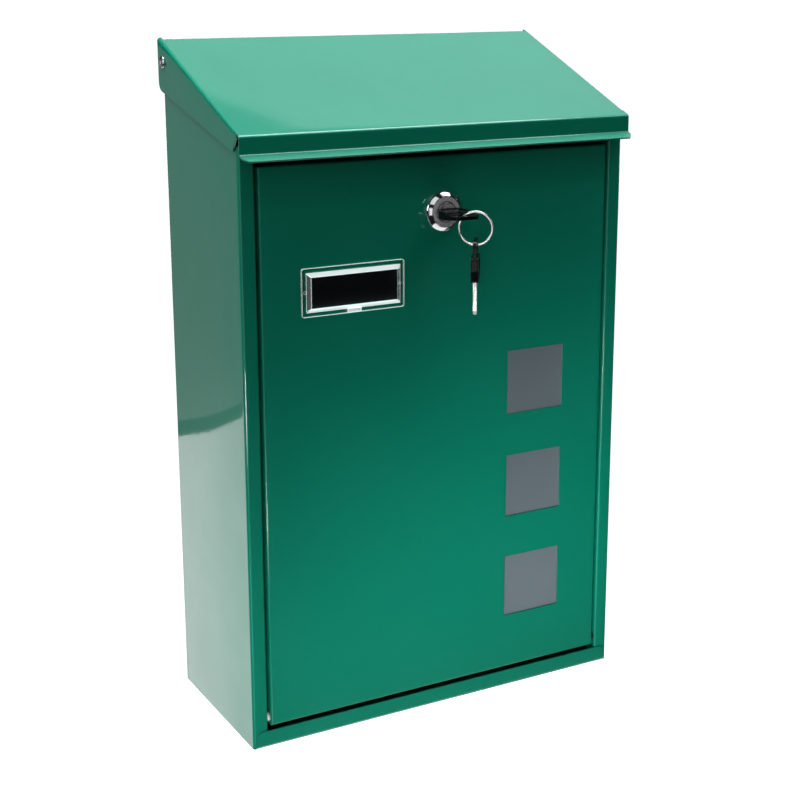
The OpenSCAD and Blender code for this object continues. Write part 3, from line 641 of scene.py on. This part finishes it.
def lock_body():
    """Lock housing: polished bezel with a stepped rim and a threaded barrel with two flats."""
    low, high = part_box("lock_housing")
    centre = middle("lock_housing")
    bezel_r = (high.x - low.x) / 2
    bezel_t = 4 * MM
    face_r = 7.58 * MM
    bore_r = 6.56 * MM
    thread_r = 9 * MM
    pitch = 0.9 * MM
    length = high.y - low.y
    bore = [(bore_r, length), (bore_r, 1.35 * MM), (face_r, 1.3 * MM)]
    # The bead, the fine groove and the inner rim, as steps out from the plug's face and back.
    steps = [
        (0.0, 0.22),
        (0.05, 0.07),
        (0.15, 0.0),
        (0.25, 0.07),
        (0.28, 0.2),
        (0.34, 0.2),
        (0.38, 0.06),
        (0.48, 0.02),
        (0.6, 0.06),
    ]
    bead = [(face_r + out * MM, back * MM) for out, back in steps]
    # The chamfer and the rounded edge, as steps in from the bezel's side and back.
    edge = [(0.75, 1.25), (0.4, 1.6), (0.12, 2.2), (0.0, 2.9)]
    chamfer = [(bezel_r - into * MM, back * MM) for into, back in edge]
    seat = [
        (bezel_r, bezel_t - 0.1 * MM),
        (bezel_r - 0.1 * MM, bezel_t),
        (thread_r - 0.35 * MM, bezel_t),
    ]
    front = bore + bead + chamfer + seat
    turns = int((length - bezel_t) / pitch) - 1
    thread = []
    for k in range(turns):
        h = bezel_t + pitch * (k + 0.6)
        thread += [(thread_r - 0.4 * MM, h), (thread_r, h + pitch * 0.4), (thread_r, h + pitch * 0.5)]
    profile = front + thread + [(thread_r - 0.6 * MM, length), (bore_r, length)]
    matrix = Matrix.Translation((centre.x, low.y, centre.z)) @ Matrix.Rotation(-math.pi / 2, 4, "X")
    bm = bmesh.new()
    lathe(bm, profile, matrix, 128)
    for v in bm.verts:
        if v.co.y > low.y + bezel_t + 0.05 * MM:
            flat = BARREL_FLAT / 2
            v.co.z = max(centre.z - flat, min(centre.z + flat, v.co.z))
    obj = place_piece("lock_bezel_and_barrel", bm, CHROME, "door", "lock_housing")
    obj.modifiers.new("even_normals", "WEIGHTED_NORMAL")


for node_name, finish in NODE_FINISH.items():
    finish_node(node_name, finish)
KEY_1, KEY_2 = key_places()
key_head("key_1_grip", KEY_1, "key", "key_1_head")
key_head("key_2_grip", KEY_2, "spare_key", "key_2_head")
split_ring()
rivets()
lock_body()

# Stage, light and camera

FLOOR_Z = -1.1


def stage_floor():
    """A pale floor far below, which stays out of the reflections."""
    bm = bmesh.new()
    bmesh.ops.create_grid(bm, x_segments=2, y_segments=2, size=40)
    mesh = bpy.data.meshes.new("floor")
    bm.to_mesh(mesh)
    bm.free()
    floor = bpy.data.objects.new("floor", mesh)
    bpy.context.scene.collection.objects.link(floor)
    floor.location.z = FLOOR_Z
    s = Shader("pale_floor", Roughness=0.9)
    pale = s.mix(s.noise(0.6, 2), (0.9, 0.9, 0.9, 1), (0.93, 0.93, 0.93, 1))
    s.drive("Base Color", pale)
    s.drive("Emission Color", pale)
    s.bsdf.inputs["Emission Strength"].default_value = 1.1
    mesh.materials.append(s.mat)
    floor.visible_glossy = False
    floor.visible_diffuse = False
    floor.visible_transmission = False


def world_light():
    """White to the camera, a soft grey room to diffuse light and a dark room in reflections."""
    world = bpy.data.worlds.new("studio")
    bpy.context.scene.world = world
    world.use_nodes = True
    tree = world.node_tree
    tree.nodes.clear()
    path = tree.nodes.new("ShaderNodeLightPath")
    out = tree.nodes.new("ShaderNodeOutputWorld")
    room = tree.nodes.new("ShaderNodeBackground")
    room.inputs["Color"].default_value = (1, 1, 1, 1)
    white = tree.nodes.new("ShaderNodeBackground")
    white.inputs["Color"].default_value = (1, 1, 1, 1)
    white.inputs["Strength"].default_value = 1.0
    sharp = tree.nodes.new("ShaderNodeMath")
    sharp.operation = "MAXIMUM"
    tree.links.new(path.outputs["Is Glossy Ray"], sharp.inputs[0])
    tree.links.new(path.outputs["Is Transmission Ray"], sharp.inputs[1])
    strength = tree.nodes.new("ShaderNodeMapRange")
    strength.inputs["To Min"].default_value = 0.055
    strength.inputs["To Max"].default_value = 0.01
    tree.links.new(sharp.outputs[0], strength.inputs["Value"])
    tree.links.new(strength.outputs[0], room.inputs["Strength"])
    mix = tree.nodes.new("ShaderNodeMixShader")
    tree.links.new(path.outputs["Is Camera Ray"], mix.inputs[0])
    tree.links.new(room.outputs[0], mix.inputs[1])
    tree.links.new(white.outputs[0], mix.inputs[2])
    tree.links.new(mix.outputs[0], out.inputs["Surface"])


def hang_light(name, light, place, aim):
    """Puts a light in place, turned to its aim and out of the camera's sight."""
    obj = bpy.data.objects.new(name, light)
    bpy.context.scene.collection.objects.link(obj)
    obj.location = place
    obj.rotation_euler = (Vector(aim) - Vector(place)).to_track_quat("-Z", "Y").to_euler()
    obj.visible_camera = False


def softbox(name, place, aim, width, height, power):
    """An evenly lit rectangle, in metres and watts."""
    light = bpy.data.lights.new(name, "AREA")
    light.shape = "RECTANGLE"
    light.size = width
    light.size_y = height
    light.energy = power
    hang_light(name, light, place, aim)


def beam(name, place, aim, power):
    """A soft-edged spotlight, which gives the front its slow fall from light to dark."""
    light = bpy.data.lights.new(name, "SPOT")
    light.energy = power
    light.spot_size = math.radians(13)
    light.spot_blend = 1.0
    light.shadow_soft_size = 0.1
    hang_light(name, light, place, aim)


stage_floor()
world_light()
softbox("top_softbox", (0.0, 0.19, 1.25), (0, 0.15, 0.17), 1.6, 0.58, 18)
softbox("lip_strip", (0.0, -0.17, 1.2), (0, -0.13, 0.17), 1.6, 0.12, 7.5)
softbox("lid_sheen", (0.6, 0.85, 0.78), (0, -0.05, 0.17), 1.1, 0.7, 1.3)
beam("front_beam_left", (-0.75, -1.15, -0.4), (-0.07, -0.105, -0.12), 42)
beam("front_beam_right", (-0.75, -1.15, -0.4), (0.115, -0.105, -0.09), 57)
softbox("side_card_low", (-0.62, 0.86, -0.58), (-0.62, 0, -0.58), 0.59, 0.55, 1.45)
softbox("side_card_high", (-0.45, 0.87, -0.07), (-0.45, 0, -0.07), 0.6, 0.44, 0.18)
softbox("left_fill", (-1.5, -0.1, 0.45), (-0.11, -0.05, 0.0), 0.7, 0.7, 6.5)
softbox("right_fill", (1.5, 0.35, 0.3), (0.11, -0.05, 0.0), 0.8, 0.8, 7)
softbox("back_fill", (0.55, 1.6, 0.1), (0, 0, 0), 0.8, 0.8, 9)
softbox("low_bounce", (0.15, -0.4, -0.62), (0.15, -0.38, 0), 0.8, 0.5, 1.3)
softbox("under_fill", (0.0, 0.1, -0.9), (0, -0.05, -0.16), 0.8, 0.6, 3)
softbox("high_left_card", (-0.55, -1.0, 0.95), (0, -0.1, 0.1), 0.9, 0.7, 1.6)
softbox("high_right_card", (0.62, -0.6, 1.25), (0, -0.1, 0.1), 0.8, 0.62, 1.5)
softbox("edge_strip", (0.6, -0.55, 1.1), (0.6, -0.11, 0.1), 0.85, 0.07, 1.5)
softbox("left_card", (-0.74, -1.0, 0.0), (0, -0.1, 0.08), 0.32, 0.6, 0.6)


# Camera: its place in metres, its direction and roll, and a small lens shift for the framing.
CAMERA_PLACE = Vector((-0.3960, -0.8105, 0.2439))
AZIMUTH = math.radians(-31.438)
ELEVATION = math.radians(14.672)
ROLL = math.radians(0.768)
LENS = 72.48
SHIFT = (-0.125, -0.056)


def make_camera():
    """A camera at CAMERA_PLACE that looks along the azimuth and elevation."""
    back = Vector((
        math.sin(AZIMUTH) * math.cos(ELEVATION),
        -math.cos(AZIMUTH) * math.cos(ELEVATION),
        math.sin(ELEVATION),
    ))
    level = Vector((math.cos(AZIMUTH), math.sin(AZIMUTH), 0))
    up = back.cross(level)
    right = math.cos(ROLL) * level + math.sin(ROLL) * up
    top = -math.sin(ROLL) * level + math.cos(ROLL) * up
    data = bpy.data.cameras.new("camera")
    data.lens = LENS
    data.sensor_width = 36
    data.shift_x, data.shift_y = SHIFT
    data.clip_start = 0.02
    data.clip_end = 120
    cam = bpy.data.objects.new("camera", data)
    bpy.context.scene.collection.objects.link(cam)
    turn = Matrix((right, top, back)).transposed().to_4x4()
    cam.matrix_world = Matrix.Translation(CAMERA_PLACE) @ turn
    bpy.context.scene.camera = cam


make_camera()
bpy.context.scene.view_settings.view_transform = "Standard"
